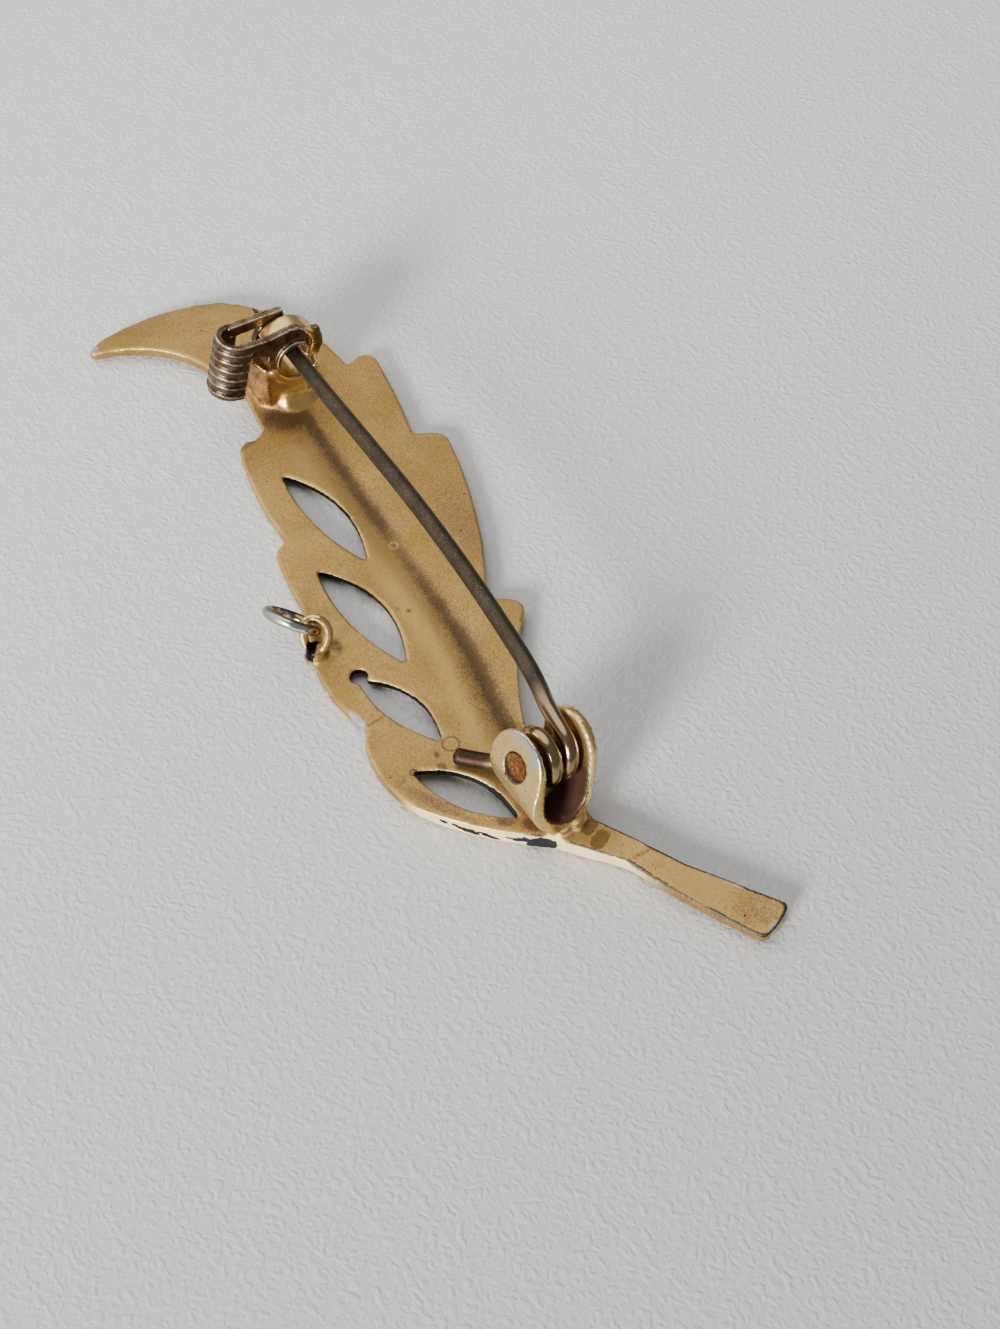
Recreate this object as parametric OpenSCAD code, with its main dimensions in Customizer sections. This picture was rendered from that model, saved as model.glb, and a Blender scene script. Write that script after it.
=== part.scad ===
/* [View] */
// Which piece to draw
// How far the pin is swung open, degrees
pin_open = 0;  // [0:5:90]
// How far the catch's lever is turned open, degrees
lock_open = 0;  // [0:5:75]

/* [Leaf] */
// Thickness of the leaf's sheet, mm
sheet = 0.5;  // [0.4:0.05:0.8]
// Width of the pressed midrib, mm
rib_width = 1.1;  // [0.8:0.1:1.6]
// Extra depth of the rim beside the hinge, mm
rim_depth = 0.3;  // [0:0.05:0.5]
// Diameter of the pilot hole at the third slot, mm
pilot_d = 1;  // [0.5:0.1:1.2]

/* [Hinge] */
// Diameter of the spring wire, mm
wire_d = 0.95;  // [0.8:0.05:1]
// Radius of the coil at the wire's centre, mm
coil_r = 1.33;  // [1.3:0.01:1.4]
// Diameter of the rivet's shaft, mm
rivet_d = 1.6;  // [1.4:0.05:1.6]
// Radius of the round head of each ear, mm
ear_r = 2.05;  // [1.9:0.05:2.2]
// Running gap between the parts that turn, mm
turn_gap = 0.05;  // [0.03:0.01:0.06]

/* [Catch] */
// Bore radius of the catch, mm
bore_r = 1.4;  // [1.35:0.05:1.5]
// Thickness of the catch's metal, mm
catch_wall = 0.45;  // [0.35:0.05:0.5]
// Width of the catch's roof, mm
roof_wide = 1.3;  // [1.1:0.1:1.4]
// Outer radius of the lever's thumb loop, mm
loop_r = 1.22;  // [1.1:0.02:1.3]

/* [Ring] */
// Radius of the jump ring at the wire's centre, mm
ring_r = 1.5;  // [1.4:0.02:1.6]
// Diameter of the jump ring's wire, mm
ring_wire = 0.6;  // [0.5:0.02:0.7]

/* [Hidden] */
$fn = 48;
eps = 0.01;
far = 20;
// moves the working origin (the hinge's foot) to the middle of the underside
shift = [-18.107, 2.528, 0];

// leaf's outline: along, across, swell of the edge to the next row
edge_rows = [
    [-10.6, -5.05, 0.12], [-10.88, -5.6, 0.1], [-10.25, -7.25, 0.12], [-9.8, -7.4, 0],
    [-5.1, -4.5, 0.05], [-0.2, -2.1, 0],
    [6.6, -2.5, -0.45], [13.6, -7.2, 0.2], [14.7, -7.2, 0.1],
    [15.5, -5.9, 0.6], [27.4, -11.1, 0.15], [28.4, -10.4, 0],
    [28.9, -9.5, 0.12], [35.4, -11, 0.25], [36.3, -10.2, 0],
    [36, -9.1, 0.15], [40.2, -8.6, 0.3], [45.4, -5.3, 0.7],
    [47, 2.4, 0.1], [46.3, 3.7, 0.1], [45.9, 3.3, -0.5], [42.1, -1.1, -0.2],
    [37.2, -2.5, 0.05], [34.2, -2, 0], [33.8, -1.1, 0.3], [33.6, 0.1, 0.35],
    [26, 1.4, 0.05], [25.5, 2.4, 0.1], [21.4, 3.2, 0], [17, 4.85, 0.3],
    [11.8, 4.7, 0.1], [10.6, 5.5, 0.4], [5.8, 5.3, 0.35], [0.2, 0.5, 0],
    [-3.2, -2, 0.15]
];
// slots between the veins: tip end x, y, stem end x, y, inner swell, outer swell
slot_rows = [
    [30.5, -1.0, 21.9, -1.7, 1.3, 0.7],
    [23.0, 1.1, 14.4, 0.45, 1.5, 0.75],
    [15.1, 3.3, 8.7, 1.75, 1.2, 0.7],
    [8.0, 4.2, 2.1, 1.1, 1.15, 0.85]
];
pilot_at = [15.2, 3.1];
// midrib: along, across
rib_rows = [
    [-11.6, -7.1], [-5.4, -3.7], [-0.5, -1.3], [4, -1.1], [8, -1.9], [12.6, -3.1],
    [17.3, -3.6], [25, -4.1], [33, -4.7], [37, -5.1], [41, -5], [44.5, -2.9], [47.7, 0.5]
];
// form along the leaf: along, height of the back, depth of the midrib, thickness
form_rows = [
    [-11.6, 0.95, 0, 0.6], [-5, 1.1, 0, 0.8], [-1, 1.2, 0, 1.08], [2, 1.22, 0, 1.05],
    [6, 1.12, 0.35, 0.55], [10, 0.98, 0.46, 0.5], [20, 0.9, 0.4, 0.5],
    [30, 0.9, 0.38, 0.5], [34, 0.95, 0.2, 0.5], [37, 1, 0, 0.55],
    [41, 1.15, 0, 0.7], [44, 1.15, 0, 0.75], [46, 0.9, 0, 0.6], [47.7, 0.5, 0, 0.45]
];
// lines of the sheet to each side of the midrib
sheet_steps = [-7.5, -6, -4.6, -3.4, -2.4, -1.6, -1, -0.5, 0,
    0.5, 1, 1.6, 2.4, 3.4, 4.6, 6, 7.4, 9.2];
sheet_x0 = -11.5;
sheet_x1 = 47.6;
sheet_rows = 58;

// value of column c of a table at x, in straight or rounded runs
function row_at(t, x, i = 0) = i >= len(t) - 2 || x <= t[i + 1][0] ? i : row_at(t, x, i + 1);
function straight(t, x, c, i) = t[i][c]
    + (t[i + 1][c] - t[i][c]) * max(0, min(1, (x - t[i][0]) / (t[i + 1][0] - t[i][0])));
function look(t, x, c) = straight(t, x, c, row_at(t, x));
function ease(f) = let (g = max(0, min(1, f))) g * g * (3 - 2 * g);
function soft(t, x, c) = (look(t, x - 1, c) + 2 * look(t, x, c) + look(t, x + 1, c)) / 4;

function rib_y(x) = soft(rib_rows, x, 1);
function back_z(x, d) = soft(form_rows, x, 1)
    - soft(form_rows, x, 2) * exp(-pow(d / rib_width, 2))
    - (x < 12 ? 0.008 : 0.02) * pow(max(0, abs(d) - 2), 1.5);
function rim_y(x) = x < 5.8 ? 0.4 + 0.87 * x : 5.4;
function rim(x, d) = rim_depth * ease((rib_y(x) + d - rim_y(x) + 1.2) / 0.9) * ease((12 - x) / 4)
    * ease((x + 3) / 4);
function under_z(x, d) = max(0, back_z(x, d) - soft(form_rows, x, 3) * sheet / 0.5 - rim(x, d));

// arc from p to q that swells by s to the right of the way, n parts
function arc_part(p, q, s, f) = let (m = q - p, n = [m[1], -m[0]] / norm(m))
    p + m * f + n * s * 4 * f * (1 - f);
function arc_run(p, q, s, n) = [for (k = [0 : n - 1]) arc_part(p, q, s, k / n)];
function outline() = [for (i = [0 : len(edge_rows) - 1])
    let (a = edge_rows[i], b = edge_rows[(i + 1) % len(edge_rows)])
    each arc_run([a[0], a[1]], [b[0], b[1]], a[2], a[2] == 0 ? 1 : 6)];
function slot_edge(r) = concat(arc_run([r[0], r[1]], [r[2], r[3]], -r[4], 12),
    arc_run([r[2], r[3]], [r[0], r[1]], -r[5], 12));

// a grid of points as a closed sheet: nu rows of nv points above, then the same below
function quad_up(a, b, c, d) = [[a, b, c], [a, c, d]];
function sheet_faces(nu, nv) = let (n = nu * nv) concat(
    [for (i = [0 : nu - 2], j = [0 : nv - 2])
        let (a = i * nv + j) each quad_up(a, a + 1, a + nv + 1, a + nv)],
    [for (i = [0 : nu - 2], j = [0 : nv - 2])
        let (a = n + i * nv + j) each quad_up(a, a + nv, a + nv + 1, a + 1)],
    [for (i = [0 : nu - 2]) let (a = i * nv) each quad_up(a, a + nv, a + n + nv, a + n)],
    [for (i = [0 : nu - 2]) let (a = i * nv + nv - 1)
        each quad_up(a, a + n, a + n + nv, a + nv)],
    [for (j = [0 : nv - 2]) each quad_up(j, j + n, j + n + 1, j + 1)],
    [for (j = [0 : nv - 2]) let (a = (nu - 1) * nv + j)
        each quad_up(a, a + 1, a + n + 1, a + n)]);

module sheet_block() {
    xs = [for (i = [0 : sheet_rows]) sheet_x0 + (sheet_x1 - sheet_x0) * i / sheet_rows];
    polyhedron(points = concat(
        [for (x = xs, d = sheet_steps) [x, rib_y(x) + d, back_z(x, d)]],
        [for (x = xs, d = sheet_steps) [x, rib_y(x) + d, under_z(x, d)]]),
        faces = sheet_faces(len(xs), len(sheet_steps)));
}

module leaf_plate() {
    intersection() {
        sheet_block();
        translate([0, 0, -1]) linear_extrude(4) difference() {
            polygon(outline());
            for (r = slot_rows) polygon(slot_edge(r));
            translate(pilot_at) circle(d = pilot_d);
        }
    }
}

// hinge: its bracket leans to one side, and its own origin is the foot
foot_at = [0.4, -0.65, 1.2];
lean = 10;
axis_at = [2.7, 3.02];
lane_spring = 0.36;
lane_pin = -0.66;
ear_foot = [-0.25, 1.1];
bracket_sink = -0.4;
rivet_gap = 0.04;
function hinge_to_part(p) = foot_at
    + [p[0], p[1] * cos(lean) - p[2] * sin(lean), p[1] * sin(lean) + p[2] * cos(lean)];
module hinge_place() translate(foot_at) rotate([lean, 0, 0]) children();

// side of an ear: a round head that runs down to a short foot
function tangent_deg(p, side) = let (v = p - axis_at, a = atan2(v[1], v[0]),
    h = acos(ear_r / norm(v))) a + side * h;
function on_head(a) = axis_at + ear_r * [cos(a), sin(a)];
module ear_side() {
    back = [ear_foot[0], 0];
    front = [ear_foot[1], 0];
    union() {
        translate(axis_at) circle(ear_r);
        polygon([back, on_head(tangent_deg(back, -1)), axis_at, on_head(tangent_deg(front, 1)),
            front, [front[0], bracket_sink], [back[0], bracket_sink]]);
    }
}
// section of the bracket across: height, left outer, left inner, right inner, right outer
leg_rows = [[1.9, 2.27, 1.54, -1.25, -1.75], [3.02, 2.01, 1.46, -1.42, -1.92],
    [5.4, 1.46, 1.3, -1.64, -2.16]];
// round of the fold below the legs: across, height, radius
fold_outer = [0.27, 1.9, 2];
fold_inner = [0.145, 1.86, 1.39];
module bracket_section() {
    difference() {
        union() {
            translate([fold_outer[0], fold_outer[1]]) circle(fold_outer[2]);
            polygon(concat([for (r = leg_rows) [r[1], r[0]]],
                [for (i = [2 : -1 : 0]) [leg_rows[i][4], leg_rows[i][0]]]));
            translate([-0.9, bracket_sink]) square([2, 1]);
        }
        translate([fold_inner[0], fold_inner[1]]) circle(fold_inner[2]);
        polygon(concat([for (r = leg_rows) [r[2], r[0]]], [[1.28, 6], [-1.7, 6]],
            [for (i = [2 : -1 : 0]) [leg_rows[i][3], leg_rows[i][0]]]));
    }
}
// solder round the foot: along, across, radius, height
solder_rows = [[0.45, -0.35, 0.95, 0.75], [0.4, -1.15, 0.95, 0.8], [0.9, -1.0, 0.9, 0.7]];
module hinge_bracket() {
    hinge_place() difference() {
        intersection() {
            rotate([90, 0, 90]) translate([0, 0, -2]) linear_extrude(9) bracket_section();
            rotate([90, 0, 0]) translate([0, 0, -4]) linear_extrude(8) ear_side();
        }
        translate([axis_at[0], 0, axis_at[1]]) rotate([90, 0, 0])
            cylinder(d = rivet_d + rivet_gap, h = 8, center = true);
    }
    // solder round the foot
    for (p = solder_rows) translate([p[0], p[1], foot_at[2] - 0.45])
        cylinder(r1 = p[2], r2 = p[2] - 0.3, h = p[3]);
}

rivet_left = 1.94;
rivet_right = -2.05;
// shallow dish in the rivet's left face: radius of the ball, depth
dish = [2.2, 0.1];
module rivet() {
    color([0.72, 0.42, 0.2]) translate(shift) hinge_place()
        translate([axis_at[0], 0, axis_at[1]]) rotate([-90, 0, 0]) difference() {
            translate([0, 0, rivet_right]) cylinder(d = rivet_d, h = rivet_left - rivet_right);
            translate([0, 0, rivet_left + dish[0] - dish[1]]) sphere(dish[0]);
        }
}

// a round wire along a path: radius at each point, sides round it
function unit(v) = v / norm(v);
function tangent(p, i) = unit(p[min(i + 1, len(p) - 1)] - p[max(i - 1, 0)]);
function across(t) = unit([0, 1, 0] - t * t[1]);
function wire_ring(c, t, r, n) = let (s = across(t), u = cross(t, s))
    [for (k = [0 : n - 1]) c + r * (cos(360 * k / n) * s + sin(360 * k / n) * u)];
function wire_faces(m, n) = concat([[for (k = [n - 1 : -1 : 0]) k]],
    [for (i = [0 : m - 2], k = [0 : n - 1]) let (a = i * n, b = (k + 1) % n)
        each [[a + k, a + b, a + n + b], [a + k, a + n + b, a + n + k]]],
    [[for (k = [0 : n - 1]) (m - 1) * n + k]]);
module wire(path, radii, sides = 12) {
    polyhedron(points = [for (i = [0 : len(path) - 1])
        each wire_ring(path[i], tangent(path, i), radii[i], sides)],
        faces = wire_faces(len(path), sides));
}
// a smooth run through a short table, n steps between rows
function blend(a, b, c, d, f) = 0.5 * (2 * b + (c - a) * f + (2 * a - 5 * b + 4 * c - d) * f * f
    + (3 * b - a - 3 * c + d) * f * f * f);
function through(t, n) = concat([for (i = [0 : len(t) - 2], k = [0 : n - 1])
    blend(t[max(i - 1, 0)], t[i], t[i + 1], t[min(i + 2, len(t) - 1)], k / n)],
    [t[len(t) - 1]]);
function coil_point(a, lane) = hinge_to_part(
    [axis_at[0] + coil_r * cos(a), lane, axis_at[1] + coil_r * sin(a)]);

// round end: the last points of a wire close in on themselves
function end_radius(s, r) = s >= r ? r : max(0.12 * r, sqrt(max(0, r * r - pow(r - s, 2))));

// tail that lies on the leaf: along, across, height
tail_rows = [[4.5, -0.25, 2.35], [5.7, 0.75, 1.8], [6.9, 1.72, 1.62], [7.25, 2, 1.6]];
module spring() {
    turn = [for (a = [-6 : 12 : 270]) coil_point(a, lane_spring)];
    path = concat(turn, through(tail_rows, 4));
    ends = [path[0], path[len(path) - 1]];
    r = wire_d / 2;
    color([0.33, 0.28, 0.24]) translate(shift)
        wire(path, [for (p = path) end_radius(min(norm(p - ends[0]), norm(p - ends[1])), r)]);
}

// pin's stem: along, across, height, radius of the wire
stem_rows = [[4.9, -2.47, 5.55, 0.475], [6.2, -2.83, 5.66, 0.48], [8.5, -3.18, 5.84, 0.485],
    [14, -3.74, 6.08, 0.49],
    [20, -4.2, 6.05, 0.49], [26, -4.52, 5.73, 0.49], [31, -4.84, 5.22, 0.48],
    [35, -5.22, 4.63, 0.46], [38, -5.46, 4.06, 0.36], [41.4, -5.72, 3.32, 0.07]];
// the loop steps aside as it comes up the back, so the stem leaves beside the ear
pin_aside = 0.22;
function pin_lane(a) = lane_pin - pin_aside * ease((a - 180) / 80);
module pin() {
    loop = [for (a = [30 : 12 : 270]) coil_point(-a, pin_lane(a))];
    stem = through(stem_rows, 4);
    path = concat(loop, [for (p = stem) [p[0], p[1], p[2]]]);
    thin = concat([for (p = loop) end_radius(norm(p - loop[0]), wire_d / 2)],
        [for (p = stem) p[3]]);
    axis = hinge_to_part([axis_at[0], 0, axis_at[1]]);
    color([0.28, 0.25, 0.22]) translate(shift)
        translate(axis) rotate([lean, 0, 0]) rotate([0, -pin_open, 0]) rotate([-lean, 0, 0])
        translate(-axis) wire(path, thin);
}

// catch: its own origin is the middle of its bore, where the pin passes
catch_at = [36.6, -5.4, 4.4];
catch_turn = -4.6;
lane_gap = 0.07;
arm_in = roof_wide / 2 + lane_gap;
arm_out = loop_r;
module catch_place() translate(catch_at) rotate([0, 0, catch_turn]) children();
// part of a tube round the catch's line, from angle a0 (0 right, 90 up) to a1
module tube_part(r0, r1, x0, x1, a0, a1) {
    rotate([0, 90, 0]) rotate([0, 0, 270 - a1]) rotate_extrude(angle = a1 - a0)
        translate([r0, x0]) square([r1 - r0, x1 - x0]);
}
// a point at angle a and radius r round the bore, and a plate of such a form across it
function polar(a, r) = [-r * cos(a), r * sin(a)];
module strip_x(x0, x1) rotate([90, 0, 90]) translate([0, 0, x0])
    linear_extrude(x1 - x0) children();
catch_front = -1.6;
catch_rear = 1.5;
// sides of the neck: across, height
neck_rows = [[1.9, -0.22], [2.35, 0.1], [2.7, 0.6], [2.85, 0.5], [2.82, -0.6], [2.62, -2.1],
    [2.5, -3.3], [-1.5, -3.3], [-1.6, -2.1], [-1.6, -1.2], [0, 0]];
// upright round that bends the neck's walls: along, across, radius
neck_round = [0.35, 0.5, 2.3];
// foot, spread out where it is soldered: radius, height
foot_rows = [[0, 0], [2.2, 0], [2.2, 0.35], [1.95, 0.5], [1.7, 0.8], [1.6, 1.2], [0, 1.2]];
catch_foot_at = [-0.05, 0.35, -3.75];
// thick right side of the roof with its raised corner: angle, radius
cheek_wide = 0.5;
cheek_rows = [[-72, 1.8], [-50, 2], [-30, 2.12], [-10, 2.17], [8, 2.17], [25, 2.26], [33, 1.8]];
module catch_housing() {
    r1 = bore_r + catch_wall;
    catch_place() difference() {
        union() {
            tube_part(bore_r, r1, -roof_wide / 2, roof_wide / 2, -172, 150);
            tube_part(bore_r, r1, catch_front, catch_rear, -172, -38);
            intersection() {
                strip_x(catch_front + 0.25, catch_rear) polygon(neck_rows);
                translate([neck_round[0], neck_round[1], -4]) cylinder(r = neck_round[2], h = 6);
            }
            translate(catch_foot_at) rotate_extrude() polygon(foot_rows);
            strip_x(-roof_wide / 2, cheek_wide - roof_wide / 2) polygon(concat(
                [for (r = cheek_rows) polar(r[0], r[1])], [polar(28, 1.6), polar(-60, 1.6)]));
        }
        rotate([0, 90, 0]) cylinder(r = bore_r, h = 8, center = true);
    }
}

// outer line of the front arm: angle, radius
arch_rows = [[14, 1.08], [28, 1.2], [42, 1.4], [53, 1.72], [66, 2.04], [80, 2.26], [95, 2.3],
    [108, 2.12], [120, 1.95], [150, 1.93], [168, 1.88]];
arch_in = 0.92;
lever_tilt = 14;
loop_out = 3.7;
loop_low = -2.72;
loop_high = 1.4;
ribs = 6;
sleeve_r = bore_r - turn_gap;
sleeve_in = 1.08;
// side views of the front arm and the rear arm: across, height
front_arm = [[0.2, 2.26], [0.4, 1.3], [1.9, 0.85], [3.3, 1.4], [3.32, 2.24], [1.6, 2.1]];
rear_arm = [[-0.35, 1.45], [3.3, 1.5], [3.32, 2.24], [-0.3, 2.12]];
strip_thick = 0.38;
rib_step = 0.64;
rib_r = 0.17;
// how far the ribbed strip runs on from the loop, back to the catch
strip_back = 0.6;
loop_in = loop_r - strip_thick;
module ribbed_section() {
    translate([loop_in, loop_low]) square([loop_r - loop_in, loop_high - loop_low]);
    for (k = [0 : ribs - 1]) translate([loop_r - 0.06, loop_low + 0.4 + k * rib_step])
        circle(rib_r, $fn = 24);
}
module strip_side() rotate([90, 0, 0]) linear_extrude(strip_back) ribbed_section();
module catch_lock() {
    color([0.36, 0.28, 0.22]) translate(shift) catch_place() rotate([lock_open, 0, 0]) union() {
        tube_part(sleeve_in, sleeve_r, -arm_in - eps, arm_out, -40, 200);
        tube_part(sleeve_in, sleeve_r, -1.5, -arm_in, 60, 200);
        strip_x(-arm_out, -arm_in) polygon(concat([for (r = arch_rows) polar(r[0], r[1])],
            [for (a = [168 : -18 : 60]) polar(a, sleeve_in + 0.1)],
            [for (a = [44 : -15 : 14]) polar(a, arch_in)]));
        tube_part(1.2, 1.85, arm_in, arm_out, 88, 172);
        // front arm and rear arm run out to the loop
        strip_x(-arm_out, -arm_in) polygon(front_arm);
        strip_x(arm_in, arm_out) polygon(rear_arm);
        // thumb loop with its ribs
        rotate([lever_tilt, 0, 0]) translate([0, loop_out - 0.02, 0]) {
            rotate_extrude(angle = 180) ribbed_section();
            strip_side();
            mirror([1, 0, 0]) strip_side();
        }
        // ends of the strip where the arms start
        for (s = [-1, 1]) rotate([lever_tilt, 0, 0])
            translate([s * (loop_r + loop_in) / 2, loop_out - 0.12, loop_high - 0.7])
                cube([loop_r - loop_in, 0.3, 1.4], center = true);
    }
}

// jump ring and the wire eyelet that holds it, which is soldered on the leaf's edge
ring_at = [19.62, 4.67, 2.28];
ring_face = [0.341, -0.678, 0.652];
// point of the ring that the eyelet goes round, and the two directions of the eyelet's plane
eyelet_at = [18.34, 3.89, 2.16];
eyelet_down = [-0.32, 0.38, -0.867];
eyelet_side = [-0.73, -0.663, -0.165];
eyelet_r = 0.74;
eyelet_wire = 0.56;
// one leg of the eyelet, from its round down to the foot: aside, down
leg_steps = [[0.74, 0.15], [0.71, 0.5], [0.6, 0.85], [0.42, 1.18]];
// where the eyelet's foot is soldered to the leaf's edge: place of the solder, radii, height
eyelet_solder = [17.93, 4.24, 0.45];
solder_cone = [0.74, 0.5, 0.83];
function eyelet_point(s, d) = eyelet_at + s * eyelet_side + d * eyelet_down;
// turns +Z to point along v
module face_to(v) rotate([0, acos(v[2] / norm(v)), atan2(v[1], v[0])]) children();
module eyelet() {
    n = len(leg_steps) - 1;
    path = concat([for (k = [n : -1 : 0]) eyelet_point(leg_steps[k][0], leg_steps[k][1])],
        [for (a = [0 : 18 : 180]) eyelet_point(eyelet_r * cos(a), -eyelet_r * sin(a))],
        [for (k = [0 : n]) eyelet_point(-leg_steps[k][0], leg_steps[k][1])]);
    wire(path, [for (p = path) eyelet_wire / 2], 10);
    translate(eyelet_solder) cylinder(r1 = solder_cone[0], r2 = solder_cone[1], h = solder_cone[2]);
}
module jump_ring() {
    color([0.75, 0.76, 0.74]) translate(shift) translate(ring_at) face_to(ring_face)
        rotate_extrude() translate([ring_r, 0]) circle(d = ring_wire, $fn = 32);
}

module leaf() {
    color([0.77, 0.64, 0.38]) translate(shift) union() {
        leaf_plate();
        hinge_bracket();
        catch_housing();
        eyelet();
    }
}

leaf();
rivet();
spring();
jump_ring();
pin();
catch_lock();
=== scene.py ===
import bpy
import math
import numpy as np
from mathutils import Matrix, Vector


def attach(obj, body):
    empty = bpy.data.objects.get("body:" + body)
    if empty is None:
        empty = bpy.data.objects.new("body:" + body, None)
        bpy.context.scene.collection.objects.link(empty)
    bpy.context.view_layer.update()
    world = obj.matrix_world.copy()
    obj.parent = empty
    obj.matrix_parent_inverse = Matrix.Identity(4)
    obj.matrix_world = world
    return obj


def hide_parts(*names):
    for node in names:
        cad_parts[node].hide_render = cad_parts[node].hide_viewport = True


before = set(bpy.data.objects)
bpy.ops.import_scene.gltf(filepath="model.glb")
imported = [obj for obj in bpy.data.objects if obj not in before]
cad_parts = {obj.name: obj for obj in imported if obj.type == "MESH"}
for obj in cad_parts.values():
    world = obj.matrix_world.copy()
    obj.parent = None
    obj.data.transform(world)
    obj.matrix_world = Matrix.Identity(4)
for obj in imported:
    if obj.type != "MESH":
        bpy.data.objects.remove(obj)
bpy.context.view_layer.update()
print("frame loaded:", sorted(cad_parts))

# forms are in mm from the foot of the hinge: x along the leaf to its tip, y to the ring's side, z up
mm = 0.001
footToPart = np.array([-18.107, 2.528, 0.0])  # from the foot of the hinge to the part's own origin

photoView = {
    "place": (-0.06445, 0.038259, 0.097082),
    "right": (-0.5664, -0.8241, 0.0),
    "up": (0.6667, -0.4582, 0.5878),
    "lens": 56.9,
    "filmHeight": 36,
    "nearest": 0.005,
}


def setCamera():
    lensData = bpy.data.cameras.new("photoCamera")
    lensData.sensor_fit = "VERTICAL"
    lensData.sensor_height = photoView["filmHeight"]
    lensData.lens = photoView["lens"]
    lensData.clip_start = photoView["nearest"]
    camera = bpy.data.objects.new("photoCamera", lensData)
    right, up = Vector(photoView["right"]).normalized(), Vector(photoView["up"]).normalized()
    back = right.cross(up).normalized()
    turn = Matrix((right, back.cross(right), back)).transposed().to_4x4()
    camera.matrix_world = Matrix.Translation(photoView["place"]) @ turn
    bpy.context.scene.collection.objects.link(camera)
    bpy.context.scene.camera = camera


lamps = {
    "low": {"towards": (-0.375, 0.862, 0.36), "away": 0.45, "size": 0.14, "watts": 4.2},
    "over": {"towards": (0.5, 0.0, 0.85), "away": 0.5, "size": 0.7, "watts": 2.3},
    "side": {"towards": (0.75, 0.62, 0.45), "away": 0.5, "size": 0.2, "watts": 0.5},
}
skyTint = (0.2, 0.202, 0.204)


def panelLight(name, towards, away, size, watts):
    data = bpy.data.lights.new(name, "AREA")
    data.shape = "DISK"
    data.size = size
    data.energy = watts
    light = bpy.data.objects.new(name, data)
    light.location = Vector(towards).normalized() * away
    light.rotation_euler = Vector(towards).to_track_quat("Z", "Y").to_euler()
    bpy.context.scene.collection.objects.link(light)


def setLight():
    for name, lamp in lamps.items():
        panelLight(name + "Panel", **lamp)
    world = bpy.data.worlds.new("studio")
    world.use_nodes = True
    world.node_tree.nodes["Background"].inputs["Color"].default_value = (*skyTint, 1)
    bpy.context.scene.world = world


# one wrapped socket, so that masks and colours are written as sums
class Strand:
    def __init__(self, tree, socket=None):
        self.tree = tree
        self.socket = socket

    def put(self, kind, settings=None, inputs=None, out=0):
        node = self.tree.nodes.new("ShaderNode" + kind)
        for key, value in (settings or {}).items():
            setattr(node, key, value)
        for key, value in (inputs or {}).items():
            if isinstance(value, Strand):
                self.tree.links.new(value.socket, node.inputs[key])
            else:
                node.inputs[key].default_value = value
        return Strand(self.tree, node.outputs[out] if node.outputs else None)

    def maths(self, operation, *values):
        return self.put("Math", {"operation": operation}, dict(enumerate(values)))

    def __add__(self, other):
        return self.maths("ADD", self, other)

    def __radd__(self, other):
        return self.maths("ADD", other, self)

    def __sub__(self, other):
        return self.maths("SUBTRACT", self, other)

    def __rsub__(self, other):
        return self.maths("SUBTRACT", other, self)

    def __mul__(self, other):
        return self.maths("MULTIPLY", self, other)

    def __rmul__(self, other):
        return self.maths("MULTIPLY", other, self)

    def most(self, other):
        return self.maths("MAXIMUM", self, other)

    def size(self):
        return self.maths("ABSOLUTE", self)

    def rise(self, low, high):  # 0 below low, 1 above high, soft between
        return self.put("MapRange", {"interpolation_type": "SMOOTHSTEP"},
            {"Value": self, "From Min": low, "From Max": high})

    def tint(self, first, second):  # self is the factor between two colours
        paint = [c if isinstance(c, Strand) else (*c, 1) for c in (first, second)]
        return self.put("Mix", {"data_type": "RGBA"}, {0: self, 6: paint[0], 7: paint[1]}, 2)

    def mark(self, name):
        return self.put("Attribute", {"attribute_name": name}, {}, "Fac")

    def place(self):
        return self.put("TexCoord", {}, {}, "Object")

    def grain(self, across, detail=3.0, rough=0.5):  # noise, with grains of this many mm
        return self.put("TexNoise", {}, {"Vector": self.place(), "Scale": 1 / (across * mm),
            "Detail": detail, "Roughness": rough})

    def awayFrom(self, spot):  # distance in mm from an upright line through a point of the leaf
        flat = self.put("VectorMath", {"operation": "MULTIPLY"}, {0: self.place(), 1: (1 / mm, 1 / mm, 0)})
        line = (spot[0] + footToPart[0], spot[1] + footToPart[1], 0)
        return self.put("VectorMath", {"operation": "DISTANCE"}, {0: flat, 1: line}, "Value")


def startFinish(name):
    material = bpy.data.materials.new(name)
    material.use_nodes = True
    material.node_tree.nodes.clear()
    return material, Strand(material.node_tree)


def endFinish(material, flow, inputs, height, strength, depth):
    inputs["Normal"] = flow.put("Bump", {}, {"Height": height, "Strength": strength, "Distance": depth * mm},
        "Normal")
    flow.put("OutputMaterial", {}, {"Surface": flow.put("BsdfPrincipled", {}, inputs, "BSDF")})
    return material


gold = {
    "plate": (0.48, 0.31, 0.096),
    "plateDeep": (0.31, 0.18, 0.04),
    # painted light beside the rib and on the stem
    "bright": (0.8, 0.52, 0.16),
    "smear": (0.12, 0.06, 0.02),
    "umber": (0.26, 0.15, 0.06),
    "tarnishAndShade": (0.085, 0.045, 0.016),
    "fitting": (0.82, 0.52, 0.16),
    "amber": (0.66, 0.36, 0.12),
    "pale": (0.68, 0.51, 0.22),
    # painted highlight: light cream for the bright edge wall and the right ear's glinting rim
    "paintedHighlight": (1.0, 0.84, 0.43),
    "silver": (0.5, 0.48, 0.45),
    "charcoal": (0.009, 0.0105, 0.013),
    # black: painted shade in the slots and under the eyelet, and the real black streaks on the strip
    "black": (0.005, 0.004, 0.003),
    # painted shade in the hinge's hollow and on the eyelet's shaded side
    "maroon": (0.075, 0.036, 0.019),
}
goldGrains = {"cloud": (2.6, 3, 0.5), "blotch": (0.75, 5, 0.62), "speck": (0.13, 3, 0.6),
    "fine": (0.055, 2, 0.5), "chip": (0.3, 3, 0.5)}  # size in mm, detail, roughness
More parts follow.
